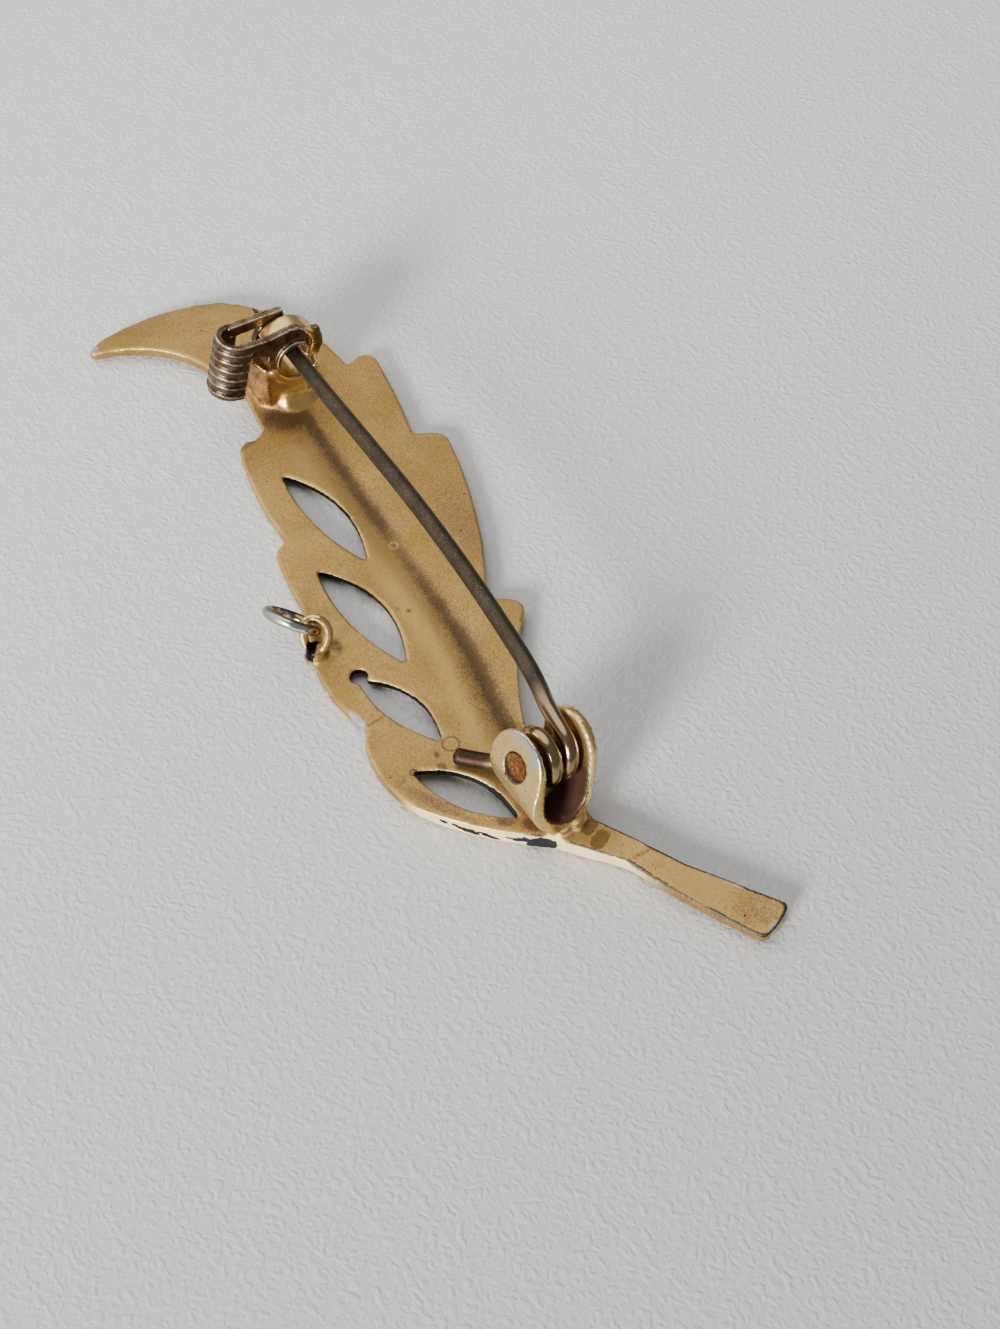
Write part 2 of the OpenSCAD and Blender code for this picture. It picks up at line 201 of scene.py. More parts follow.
goldFray = {  # weights of the mark itself, of the specks and of the blotches that break up its rim
    "amber": (0.7, 1.3, 1.2),
    "speckle": (0.5, 1.5, 0.5),
    "tarnishAndShade": (1, 0.95, 0.65),
    "smear": (1, 0.6, 0.7),
    "hollowShade": (1, 0.5, 0.6),
    "silver": (1, 0.5, 0.9),
    "gapShade": (1, 0.6, 0),
    "line": (1, 0.8, 0),
}
# layers of tarnish, with painted shade on the catch's far wall, and, over the pale ring, of stains, wear and
# painted shade in hollows and gaps:
# frayed mark, where it starts, where it is full, its share, its colour
goldTarnishAndShade = [
    ("speckle", 0.2, 0.75, 0.74, "umber"),
    ("tarnishAndShade", 0.12, 0.62, 0.7, "umber"),
    ("tarnishAndShade", 0.42, 1.05, 0.9, "tarnishAndShade"),
]
goldWearAndShade = [
    ("smear", 0.25, 0.75, 0.75, "smear"),
    ("hollowShade", 0.2, 0.8, 1, "maroon"),
    ("silver", 0.35, 0.65, 0.85, "silver"),
    ("gapShade", 0.3, 0.7, 1, "black"),
]
goldMatt = {"plain": 0.54, "shine": -0.28, "edge": -0.1, "ridgeWearAndSheen": -0.1, "dull": 0.1, "hollowShade": 0.1,
    "chipped": 0.3, "pale": 0.14, "amber": 0.12}
goldMetal = {"plain": 0.84, "shine": 0.1, "dull": -0.3, "hollowShade": -0.5, "chipped": 0.1, "hair": -0.4,
    "paintedHighlight": -0.6}
# turned marks in the plate: spot, radius, half thickness inside and at the rim, share
drillRings = [((8.26, 1.48), 0.47, 0.035, 0.1, 0.62), ((7.87, 4.19), 0.2, 0.0245, 0.07, 0.9)]
paleRing = ((22.23, -3.75), 0.24, 0.02, 0.09, 0.5)


def summed(shares, masks):
    total = shares["plain"]
    for name, share in shares.items():
        if name != "plain":
            total = total + masks[name] * share
    return total


def layered(paint, frayed, layers):
    for name, low, high, share, colour in layers:
        paint = (frayed[name].rise(low, high) * share).tint(paint, gold[colour])
    return paint


def ringMark(flow, spot, radius, inner, outer, share):
    return (1 - (flow.awayFrom(spot) - radius).size().rise(inner, outer)) * share


def goldFinish():
    material, flow = startFinish("goldPlate")
    cloud, blotch, speck, fine, chip = (flow.grain(*grain) for grain in goldGrains.values())
    frayed = {name: flow.mark(name) * own + (speck - 0.5) * specks + (blotch - 0.5) * blotches
        for name, (own, specks, blotches) in goldFray.items()}
    masks = {name: flow.mark(name) for name in ("shine", "edge", "ridgeWearAndSheen", "amber", "pale", "paintedHighlight")}
    masks["dull"] = frayed["tarnishAndShade"].rise(0.2, 0.9)
    masks["hollowShade"] = frayed["hollowShade"].rise(0.2, 0.8)
    masks["chipped"] = (flow.mark("charcoal") + (chip - 0.5) * 2.2).rise(0.5, 0.56)
    shine = masks["shine"]
    hair = frayed["line"].rise(0.4, 0.75)
    for ring in drillRings:
        hair = hair.most(ringMark(flow, *ring) * (1 - shine))
    masks["hair"] = hair

    paint = (cloud * 0.4 + speck * 0.9 + fine * 0.4).rise(0.63, 1.03).tint(gold["plate"], gold["plateDeep"])
    # painted light beside the rib and on the stem
    paint = (flow.mark("paintedLightByRib") * 0.6).tint(paint, gold["bright"])
    paint = (shine * 0.9).tint(paint, gold["fitting"])
    paint = masks["amber"].tint(paint, gold["amber"])
    paint = (frayed["amber"].rise(0.42, 0.95) * 0.75).tint(paint, gold["tarnishAndShade"])
    paint = masks["pale"].tint(paint, gold["pale"])
    # painted highlight on the edge wall beside the hinge and on the right ear's rim
    paint = (masks["paintedHighlight"] * (1.5 - blotch * 0.6 - cloud * 0.5)).tint(paint, gold["paintedHighlight"])
    # wear and painted highlight: convex ridges and rims painted pale
    paint = (masks["ridgeWearAndSheen"] * 0.6).tint(paint, gold["pale"])
    paint = layered(paint, frayed, goldTarnishAndShade)
    paint = ringMark(flow, *paleRing).tint(paint, gold["pale"])
    paint = layered(paint, frayed, goldWearAndShade)
    paint = masks["chipped"].tint(paint, flow.mark("streak").tint(gold["charcoal"], gold["black"]))
    paint = (hair * 0.9).tint(paint, gold["charcoal"])

    height = fine * (1 - shine * 0.6) + speck * 0.6 + blotch * shine * 2.5
    return endFinish(material, flow, {"Base Color": paint, "Roughness": summed(goldMatt, masks),
        "Metallic": summed(goldMetal, masks)}, height, 0.45, 0.014)


leafForm = {
    "voxel": 0.115,
    "rounds": 7,
    "fittingShare": 0.6,  # how much of the smoothing reaches the fittings
    "nearBack": 0.14,  # points this near the back are moved onto its smooth form
    "plateTo": 0.1,  # and points up to this height over it are smoothed in full
    "ribWidth": 1.1,
    "ribRows": [(-11.6, -7.1), (-5.4, -3.7), (-0.5, -1.3), (4, -1.1), (8, -1.9), (12.6, -3.1), (17.3, -3.6),
        (25, -4.1), (33, -4.7), (37, -5.1), (41, -5), (44.5, -2.9), (47.7, 0.5)],  # along, across
    "backRows": [(-11.6, 0.95, 0), (-5, 1.1, 0), (-1, 1.2, 0), (2, 1.22, 0), (6, 1.12, 0.35), (10, 0.98, 0.46),
        (20, 0.9, 0.4), (30, 0.9, 0.38), (34, 0.95, 0.2), (37, 1, 0), (41, 1.15, 0), (44, 1.15, 0),
        (46, 0.9, 0), (47.7, 0.5, 0)],  # along, height of the back, depth of the pressed rib
    "curl": {"stemSide": 0.008, "tipSide": 0.02, "change": 12, "from": 2, "power": 1.5},
    "columns": [-7.5, -6, -4.6, -3.4, -2.4, -1.6, -1, -0.5, 0, 0.5, 1, 1.6, 2.4, 3.4, 4.6, 6, 7.4, 9.2],
    "first": -11.5,
    "last": 47.6,
    "rows": 58,
}
# slots: tip end, stem end, inner and outer swell
slotRows = [(30.5, -1.0, 21.9, -1.7, 1.3, 0.7), (23.0, 1.1, 14.4, 0.45, 1.5, 0.75),
    (15.1, 3.3, 8.7, 1.75, 1.2, 0.7), (8.0, 4.2, 2.1, 1.1, 1.15, 0.85)]
pilotHole = {"spot": (15.2, 3.1), "radius": 0.5}
hingeForm = {
    "zone": (-0.5, 6.5),
    "over": 0.05,  # the fittings start this far above the plate
    "foot": (0.4, -0.65, 1.2),
    "lean": 10,
    "axis": (2.7, 3.02),  # of the rivet, along and up from the foot
    "coilRadius": 1.33,
    "wire": 0.95,
    "bowl": {"middle": (0.145, 1.86), "radius": 1.5},
    "mouth": {"from": 1.6, "widthsAt": 1.9, "left": (1.6, 0.07), "right": (1.32, 0.11)},  # width, taper
    "lighter": (1.8, 4.2),  # heights over which the hollow's shade fades
    "leftEar": (1.35, 1.75),
    "earRim": {"out": (1.1, 1.6), "from": (30, 60), "to": (130, 165)},
    "rivetEdge": 0.98,
    "farEar": {"side": ((1.0, 1.25), (1.6, 1.8)), "up": (0.6, 1.2)},
    "footTop": (0.5, 1.1),
}
catchForm = {
    "zone": (33, 40.5),
    "over": 0.05,
    "lane": -5.4,
    "bentWalls": {"rounds": 30, "along": ((34.4, 34.9), (38.4, 38.9)), "up": ((1.25, 1.7), (4.4, 4.9)),
        "side": (-4.4, -3.9)},
    "wornCorner": {"rounds": 14, "from": 34, "side": (6.8, 7.1), "up": (4.7, 5.0)},
    "nearWall": {"side": (0.9, 2.0), "top": (4.4, 5.2)},
    "farWall": {"side": (0.6, 1.6), "tip": (1.2, 1.7), "tipUp": (2.6, 4.0)},
    "roof": (5.3, 6.0),
}
eyeletForm = {"spot": (18.1, 4.1), "reach": 1.7, "over": 0.12, "middle": (18.34, 3.89, 2.16),
    "aside": (-0.73, -0.663, -0.165), "down": (-0.32, 0.38, -0.867)}
stripForm = {"start": (0.38, 1.08), "way": (0.74, 0.67), "end": (5.5, 7.5)}  # bright edge beside the hinge
solderSeams = {
    "catch": {"spot": (36.6, -5.3), "reach": 3.6, "up": ((0.05, 0.3), (0.9, 1.6)), "amount": 1},
    "hinge": {"spot": (0.5, -0.8), "reach": 1.9, "up": ((0.03, 0.2), (0.35, 0.7)), "amount": 0.9},
}
solderRipple = {"height": 0.07, "size": 0.45}


def soft(value, low, high):
    f = np.clip((value - low) / (high - low), 0, 1)
    return f * f * (3 - 2 * f)


def window(value, rising, falling):
    return soft(value, *rising) * (1 - soft(value, *falling))


def along(rows, x, column):
    # a column of a table at x, blended over 1 mm to each side
    t = np.array(rows, float)
    before, here, after = (np.interp(x + step, t[:, 0], t[:, column]) for step in (-1, 0, 1))
    return (before + 2 * here + after) / 4


def ribAcross(x):
    return along(leafForm["ribRows"], x, 1)


def backHeight(x, d):
    # height of the back at a distance d from the rib
    curl = leafForm["curl"]
    fall = np.where(x < curl["change"], curl["stemSide"], curl["tipSide"])
    return (along(leafForm["backRows"], x, 1)
        - along(leafForm["backRows"], x, 2) * np.exp(-(d / leafForm["ribWidth"]) ** 2)
        - fall * np.maximum(0, np.abs(d) - curl["from"]) ** curl["power"])


def flatHeight(x, y):
    # height of the solid's faceted back, which is drawn in rows and columns of flat triangles
    step = (leafForm["last"] - leafForm["first"]) / leafForm["rows"]
    i = np.clip(np.floor((x - leafForm["first"]) / step), 0, leafForm["rows"] - 1)
    x0 = leafForm["first"] + i * step
    f = np.clip((x - x0) / step, 0, 1)
    d = y - ribAcross(x0) * (1 - f) - ribAcross(x0 + step) * f
    columns = np.array(leafForm["columns"])
    j = np.clip(np.searchsorted(columns, d) - 1, 0, len(columns) - 2)
    d0, d1 = columns[j], columns[j + 1]
    g = np.clip((d - d0) / (d1 - d0), 0, 1)
    za, zb = backHeight(x0, d0), backHeight(x0, d1)
    zd, zc = backHeight(x0 + step, d0), backHeight(x0 + step, d1)
    return np.where(g >= f, za + g * (zb - za) + f * (zc - zb), za + f * (zd - za) + g * (zc - zd))


def evenSkin(node, voxel):
    # a CAD piece as an even skin of small quads
    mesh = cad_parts[node].data.copy()
    mesh.transform(Matrix.Scale(1 / mm, 4))
    work = bpy.data.objects.new("work", mesh)
    bpy.context.scene.collection.objects.link(work)
    even = work.modifiers.new("even", "REMESH")
    even.mode = "VOXEL"
    even.voxel_size = voxel
    even.adaptivity = 0
    bpy.context.view_layer.update()
    skin = work.evaluated_get(bpy.context.evaluated_depsgraph_get()).to_mesh()
    points = np.empty(len(skin.vertices) * 3)
    skin.vertices.foreach_get("co", points)
    corners = np.empty(len(skin.loops), int)
    skin.loops.foreach_get("vertex_index", corners)
    bpy.data.objects.remove(work)
    return points.reshape(-1, 3) - footToPart, corners.reshape(-1, 4)


def neighbours(points, quads):
    pairs = np.concatenate([quads[:, [k, (k + 1) % 4]] for k in range(4)])
    pairs = np.unique(np.sort(pairs, axis=1), axis=0)
    count = np.bincount(pairs.ravel(), minlength=len(points))
    return pairs, np.maximum(count, 1)


def pulled(values, pairs, count):
    # mean of each point's neighbours
    total = np.zeros_like(values)
    for k in range(values.shape[1]):
        total[:, k] = (np.bincount(pairs[:, 0], values[pairs[:, 1], k], len(values))
            + np.bincount(pairs[:, 1], values[pairs[:, 0], k], len(values)))
    return total / count[:, None]


def relaxed(points, quads, rounds, share):
    pairs, count = neighbours(points, quads)
    for _ in range(rounds):
        for push in (0.5, -0.52):  # a push back keeps thin metal from shrinking
            points = points + (share * push)[:, None] * (pulled(points, pairs, count) - points)
    return points


def pointNormals(points, quads):
    a, b = points[quads[:, 2]] - points[quads[:, 0]], points[quads[:, 3]] - points[quads[:, 1]]
    face = np.cross(a, b)
    total = np.zeros_like(points)
    for k in range(4):
        for c in range(3):
            total[:, c] += np.bincount(quads[:, k], face[:, c], len(points))
    return total / np.maximum(np.linalg.norm(total, axis=1), 1e-9)[:, None]


def bulgeOf(points, quads, normal, rounds):
    # how far each point stands out of its neighbours, in mm
    pairs, count = neighbours(points, quads)
    bulge = ((points - pulled(points, pairs, count)) * normal).sum(1)[:, None]
    for _ in range(rounds):
        bulge = pulled(bulge, pairs, count)
    return bulge[:, 0]


def ripple(points, size):
    # smooth uneven swell of hand-run solder, about -1 to 1
    x, y, z = points.T / size
    first = np.sin(2.1 * x + 1.3 * y + 0.7) * np.cos(1.7 * y - 1.1 * z)
    return (first + np.sin(1.2 * z + 2.3 * y - 0.9 * x + 2.0)) / 2


def turnedRows(x, y, rows):
    # offsets from the middle of each row's patch as shares of its half sizes, and its strength
    for cx, cy, halfX, halfY, turn, strength in rows:
        c, s = math.cos(math.radians(turn)), math.sin(math.radians(turn))
        yield ((x - cx) * c + (y - cy) * s) / halfX, ((y - cy) * c - (x - cx) * s) / halfY, strength


def spots(x, y, rows):
    # soft ellipses
    total = np.zeros_like(x)
    for u, v, strength in turnedRows(x, y, rows):
        total = np.maximum(total, strength * (1 - soft(np.hypot(u, v), 0.35, 1.15)))
    return total


def boxes(x, y, rows):
    # patches with a firmer edge and round corners
    total = np.zeros_like(x)
    for u, v, strength in turnedRows(x, y, rows):
        reach = (np.abs(u) ** 3 + np.abs(v) ** 3) ** (1 / 3)
        total = np.maximum(total, strength * (1 - soft(reach, 0.6, 1.2)))
    return total


def inSlot(x, y, spare):
    # 1 at points inside a slot or the pilot hole, or within a small distance of one
    holeX, holeY = pilotHole["spot"]
    near = (np.hypot(x - holeX, y - holeY) < pilotHole["radius"] + spare).astype(float)
    for ax, ay, bx, by, inner, outer in slotRows:
        reach = math.hypot(bx - ax, by - ay)
        ux, uy = (bx - ax) / reach, (by - ay) / reach
        f = ((x - ax) * ux + (y - ay) * uy) / reach
        v = (y - ay) * ux - (x - ax) * uy
        bow = 4 * np.clip(f, 0, 1) * (1 - np.clip(f, 0, 1))
        inside = ((np.abs(f - 0.5) < 0.5 + spare / reach) & (v < inner * bow + spare)
            & (v > -outer * bow - spare))
        near = np.maximum(near, inside)
    return near


# rows of spots and boxes: along, across, half length, half width, turn in degrees, strength
leafMarks = {
    "ribStrength": [(-12, 0), (2, 0.2), (3, 0.7), (7, 0.9), (13, 0.95), (17, 0.85), (20, 0.7), (22.3, 0.55),
        (24, 0.9), (29, 0.9), (32, 0.95), (35, 1), (36.5, 0.5), (38, 0), (50, 0)],
    "ribHalf": [(-12, 0.6), (3, 0.8), (9, 1.0), (13, 0.95), (20, 0.82), (27, 0.82), (32, 0.85), (35, 0.9),
        (50, 0.6)],
    "ribCore": {"strength": 0.98, "spread": 0.7},
    "ribHalo": {"strength": 0.16, "spread": 2.1},
    "stains": [(34.3, -3.6, 1.7, 2.2, -25, 1.0), (33.2, -5.6, 1.0, 1.4, 0, 0.5), (1.3, 0.75, 1.1, 0.6, 45, 1.0),
        (2.3, 1.9, 0.9, 0.4, 48, 0.85), (8.1, 2.5, 0.35, 0.25, 0, 0.9), (7.3, 2.7, 0.5, 0.3, 30, 0.8),
        (7.8, 5.0, 0.5, 0.35, 0, 0.5), (35.9, -2.0, 1.1, 0.6, 0, 0.6), (33.7, -0.7, 0.25, 1.1, 8, 0.7),
        (17.7, 3.0, 0.8, 0.45, -8, 0.85), (17.4, -1.7, 0.2, 0.2, 0, 0.8), (17.9, -1.2, 0.15, 0.15, 0, 0.7),
        (5.5, 4.3, 3.4, 0.5, 25, 0.6), (3.2, 1.7, 1.9, 0.45, 50, 0.75), (4.4, 0.8, 1.2, 0.8, 20, 0.5)],
    "smears": [(-0.5, -1.6, 0.36, 0.6, 20, 1.1), (-1.4, -1.6, 0.44, 0.72, 24, 1.1),
        (-3.35, -2.9, 0.17, 0.75, -4, 0.6)],
    "speckles": [(20.9, -8.0, 4.2, 1.6, 0, 1.3), (6.5, -2.2, 4, 1.3, 0, 0.75), (11, -2.2, 4.5, 1.8, -14, 0.75),
        (-9.3, -6.0, 2.4, 1.8, 38, 1.05), (28, -9.6, 1.6, 1.4, 0, 0.6), (3.5, 3.0, 2.4, 1.2, 40, 0.7),
        (-3.2, -2.7, 2.4, 1.2, 38, 0.5), (15, -3.6, 6, 1.6, -5, 0.7), (24, -6, 5, 2.5, 0, 0.3)],
    "silver": [(12.7, 4.75, 1.2, 0.35, 5, 0.75), (46.6, 3.6, 0.8, 0.4, 60, 1.0),
        (-10.7, -6.4, 0.4, 1.6, 0, 0.6), (-8.2, -6.35, 2.1, 0.22, 39, 0.62)],
    # along the wall of the strip and up it
    "streaks": [(2.6, 0.4, 0.6, 0.17, 12, 1.2), (3.1, 0.62, 0.5, 0.12, 0, 1.1), (3.8, 0.5, 0.7, 0.26, 10, 1.25),
        (4.6, 0.66, 0.5, 0.17, 8, 1.2), (5.3, 0.7, 0.4, 0.13, 0, 1.1)],
    "chips": [(-0.05, 0.5, 0.85, 0.5, -8, 1.45), (0.95, 0.64, 0.55, 0.2, -12, 1.3),
        (1.4, 0.64, 0.45, 0.1, 0, 1.2)],
}


def leafShape():
    points, quads = evenSkin("leaf", leafForm["voxel"])
    x, y, z = points.T
    d = y - ribAcross(x)
    onPlate = np.abs(z - backHeight(x, d)) < leafForm["nearBack"]
    points[:, 2] += np.where(onPlate, backHeight(x, d) - flatHeight(x, y), 0)
    plate = points[:, 2] < backHeight(x, d) + leafForm["plateTo"]
    points = relaxed(points, quads, leafForm["rounds"], np.where(plate, 1.0, leafForm["fittingShare"]))
    # the walls of the catch's foot are bent from sheet and have round corners
    x, y, z = points.T
    walls = catchForm["bentWalls"]
    bent = window(x, *walls["along"]) * window(z, *walls["up"]) * soft(y, *walls["side"])
    points = relaxed(points, quads, walls["rounds"], bent)
    # the raised corner of the catch's roof is worn smooth
    x, y, z = points.T
    corner = catchForm["wornCorner"]
    worn = (x > corner["from"]) * soft(-y, *corner["side"]) * soft(z, *corner["up"])
    points = relaxed(points, quads, corner["rounds"], worn)
    points[:, 2] = np.maximum(points[:, 2], 0)
    return points, quads


def solderedShape(points, above, normal):
    # solder at the foot of the catch and of the hinge is uneven
    x, y, z = points.T
    amount = np.zeros_like(x)
    for seam in solderSeams.values():
        near = np.hypot(x - seam["spot"][0], y - seam["spot"][1]) < seam["reach"]
        amount += seam["amount"] * window(above, *seam["up"]) * near
    swell = amount * solderRipple["height"] * ripple(points, solderRipple["size"])
    return points + normal * swell[:, None]


def hingeMasks(x, y, z, above):
    h, bowl, mouth, rim = hingeForm, hingeForm["bowl"], hingeForm["mouth"], hingeForm["earRim"]
    on = (x > h["zone"][0]) & (x < h["zone"][1]) & (above > h["over"])
    # across and up in the hinge's own leaning frame
    lean = math.radians(h["lean"])
    across, up = y - h["foot"][1], z - h["foot"][2]
    side = across * math.cos(lean) + up * math.sin(lean)
    high = up * math.cos(lean) - across * math.sin(lean)
    inBowl = np.hypot(side - bowl["middle"][0], high - bowl["middle"][1]) < bowl["radius"]
    upMouth = high - mouth["widthsAt"]
    left, right = mouth["left"], mouth["right"]
    inMouth = ((side < left[0] - left[1] * upMouth) & (side > -right[0] - right[1] * upMouth)
        & (high > mouth["from"]))
    alongRivet, upRivet = x - h["foot"][0] - h["axis"][0], high - h["axis"][1]
    fromRivet, turn = np.hypot(upRivet, alongRivet), np.degrees(np.arctan2(upRivet, alongRivet))
    ear = on & (side > h["leftEar"][0])
    return {
        "hollow": (on & (inBowl | inMouth)) * (1 - 0.6 * soft(high, *h["lighter"])),
        "leftEar": on * soft(side, *h["leftEar"]),
        "earRim": ear * soft(fromRivet, *rim["out"]) * window(turn, rim["from"], rim["to"]),
        "rivetEdge": ear * soft(h["rivetEdge"] - fromRivet, 0, 0.1),
        "farEar": on * window(-side, *h["farEar"]["side"]) * soft(high, *h["farEar"]["up"]),
        "foot": on * (1 - soft(above, *h["footTop"])),
        "specks": on * soft(above, 0.4, 0.9),
    }


def catchMasks(x, y, z, above):
    c, near, far = catchForm, catchForm["nearWall"], catchForm["farWall"]
    on = (x > c["zone"][0]) & (x < c["zone"][1]) & (above > c["over"])
    side = y - c["lane"]
    return {
        "nearWall": on * soft(side, *near["side"]) * (1 - soft(z, *near["top"])),
        "farWall": on * soft(-side, *far["side"]),
        # painted shade: the top of the far wall
        "farTipShade": on * soft(-side, *far["tip"]) * soft(z, *far["tipUp"]),
        "roof": on * soft(z, *c["roof"]),
    }


def eyeletMasks(x, y, z, above):
    e = eyeletForm
    on = (np.hypot(x - e["spot"][0], y - e["spot"][1]) < e["reach"]) & (above > e["over"])
    fromMiddle = np.column_stack([x, y, z]) - np.array(e["middle"])
    aside, down = fromMiddle @ np.array(e["aside"]), fromMiddle @ np.array(e["down"])
    return {
        "shaded": on * soft(aside, -0.4, 0.3),
        "lit": on * soft(-aside, 0.1, 0.5),
        # painted shade: the gap under the eyelet
        "shadeUnder": on * (np.abs(aside) < 0.3) * soft(down, 0.5, 0.75),
    }


def ribMask(x, d):
    m = leafMarks
    half = np.interp(x, *zip(*m["ribHalf"]))
    core, halo = (band["strength"] * np.exp(-(d / half / band["spread"]) ** 2)
        for band in (m["ribCore"], m["ribHalo"]))
    return np.interp(x, *zip(*m["ribStrength"])) * (core + halo)


def paintedLightByRibMask(x, d):
    # painted light: lighter gold beside the rib and on the stem
    beside = window(d, (0.1, 0.6), (1.5, 2.9)) * window(x, (4.5, 7), (31, 33.5)) * (1 - 0.5 * soft(x, 18, 25))
    return np.maximum(beside, 0.55 * (1 - soft(x, -2.6, -1.2)))


def leafMasks(points, above, normal, bulge):
    x, y, z = points.T
    d = y - ribAcross(x)
    facing, falling = normal[:, 2], -normal[:, 2]
    shine = soft(above, 0.05, 0.22)
    plain = 1 - shine
    wall = plain * soft(falling, -0.75, -0.45)
    top = plain * soft(facing, 0.6, 0.9)
    stemEdge = plain * (1 - soft(x, -4.5, -2.5))
    slot = plain * inSlot(x, y, 0.3) * (z > 0.1)
    strip = wall * (1 - soft(x, *stripForm["end"])) * (y > ribAcross(x))
    (startX, startY), (wayX, wayY) = stripForm["start"], stripForm["way"]
    alongStrip = (x - startX) * wayX + (y - startY) * wayY
    hinge, catch, eyelet = (masks(x, y, z, above) for masks in (hingeMasks, catchMasks, eyeletMasks))
    m = leafMarks
    stains, speckles, silver = (spots(x, y, m[name]) for name in ("stains", "speckles", "silver"))
    return {
        "shine": shine,
        "edge": wall,
        # convex ridges: worn pale, and painted as thin highlight lines
        "ridgeWearAndSheen": soft(bulge, 0.004, 0.016) * (1 - slot * soft(falling, -0.8, -0.5)) * (1 - 0.8 * stemEdge)
            * (1 - 0.7 * hinge["foot"]),
        # tarnish on the rib and in the stains, and painted shade on the top of the catch's far wall
        "tarnishAndShade": np.maximum(ribMask(x, d) * top, stains * np.maximum(top, 0.4)) * plain
            + catch["farTipShade"] * 0.9,
        "speckle": np.maximum(speckles * top, hinge["specks"] * 0.58),
        "smear": boxes(x, y, m["smears"]) * soft(facing, 0.2, 0.6),
        "paintedLightByRib": paintedLightByRibMask(x, d) * top,
        "silver": np.maximum(silver * plain, hinge["earRim"] * 0.62),
        "charcoal": strip * np.maximum(boxes(alongStrip, z, m["chips"]), spots(alongStrip, z, m["streaks"])),
        "streak": soft(alongStrip, 1.9, 2.2),
        # painted shade: maroon in the hinge's hollow, lighter higher up, and on the eyelet's shaded side
        "hollowShade": np.maximum(hinge["hollow"], eyelet["shaded"] * 0.5),
        "amber": hinge["foot"] * 0.6 + catch["nearWall"] + catch["farWall"] * 0.35,
        # pale: the left ear and the catch's roof, and painted light on the eyelet's lit side
        "pale": hinge["leftEar"] * 0.85 + catch["roof"] * 0.4 + eyelet["lit"] * 0.8,
        # painted highlight: the edge wall beside the hinge, lighter towards its top, and the convex rim of the
        # right ear
        "paintedHighlight": np.maximum(strip * soft(x, -6.5, -2.5) * (0.6 + 0.4 * soft(z, 0.03, 0.35)),
            hinge["farEar"] * soft(bulge, 0.0015, 0.007) * 0.7),
        # painted shade: black on the walls of the slots and in the gap under the eyelet
        "gapShade": np.maximum(slot * soft(falling, -0.62, -0.25), eyelet["shadeUnder"]),
        "line": np.maximum(stemEdge * 0.85, 0.95 * plain * soft(z, 0.8, 0.95) * (1 - soft(x, 0.4, 2)))
            * soft(bulge, 0.003, 0.012) + hinge["rivetEdge"] * 0.8,
    }


def makeLeaf():
    smooth, quads = leafShape()
    x, y, z = smooth.T
    above = z - backHeight(x, y - ribAcross(x))
    normal = pointNormals(smooth, quads)
    points = solderedShape(smooth, above, normal)
    marks = leafMasks(smooth, above, normal, bulgeOf(points, quads, normal, 2))
    piece = skinPiece("leafAndFittings", points, quads, goldFinish(), marks)
    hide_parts("leaf")
    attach(piece, "frame")
    print("leaf:", len(quads), "quads")


def skinPiece(name, points, faces, material, marks):
    mesh = bpy.data.meshes.new(name)
    mesh.from_pydata(((points + footToPart) * mm).tolist(), [], [list(f) for f in faces])
    mesh.update()
    mesh.shade_smooth()
    for key, values in marks.items():
        mark = mesh.attributes.new(key, "FLOAT", "POINT")
        mark.data.foreach_set("value", np.asarray(values, np.float32))
    piece = bpy.data.objects.new(name, mesh)
    bpy.context.scene.collection.objects.link(piece)
    mesh.materials.append(material)
    return piece


def fromHinge(p):
    c, s = math.cos(math.radians(hingeForm["lean"])), math.sin(math.radians(hingeForm["lean"]))
    fx, fy, fz = hingeForm["foot"]
    return np.array([fx + p[0], fy + p[1] * c - p[2] * s, fz + p[1] * s + p[2] * c])


def coilPoint(degrees, lane):
    a = math.radians(degrees)
    return fromHinge((hingeForm["axis"][0] + hingeForm["coilRadius"] * math.cos(a), lane,
        hingeForm["axis"][1] + hingeForm["coilRadius"] * math.sin(a)))


def throughRows(rows, steps):
    # a smooth run through the rows of a table
    t = np.array(rows, float)
    run = []
    for i in range(len(t) - 1):
        a, b, c, d = t[max(i - 1, 0)], t[i], t[i + 1], t[min(i + 2, len(t) - 1)]
        for k in range(steps):
            f = k / steps
            run.append(0.5 * (2 * b + (c - a) * f + (2 * a - 5 * b + 4 * c - d) * f * f
                + (3 * b - a - 3 * c + d) * f ** 3))
    return run + [t[-1]]


def reachAlong(path):
    return np.concatenate([[0], np.cumsum(np.linalg.norm(np.diff(path, axis=0), axis=1))])


def evenRun(path, radii, step):
    path, radii = np.array(path), np.array(radii)
    reach = reachAlong(path)
    at = np.linspace(0, reach[-1], int(reach[-1] / step) + 1)
    return np.column_stack([np.interp(at, reach, path[:, k]) for k in range(3)]), np.interp(at, reach, radii)


def calmed(path, rounds):
    for _ in range(rounds):
        path = np.vstack([path[:1], (path[:-2] + 2 * path[1:-1] + path[2:]) / 4, path[-1:]])
    return path


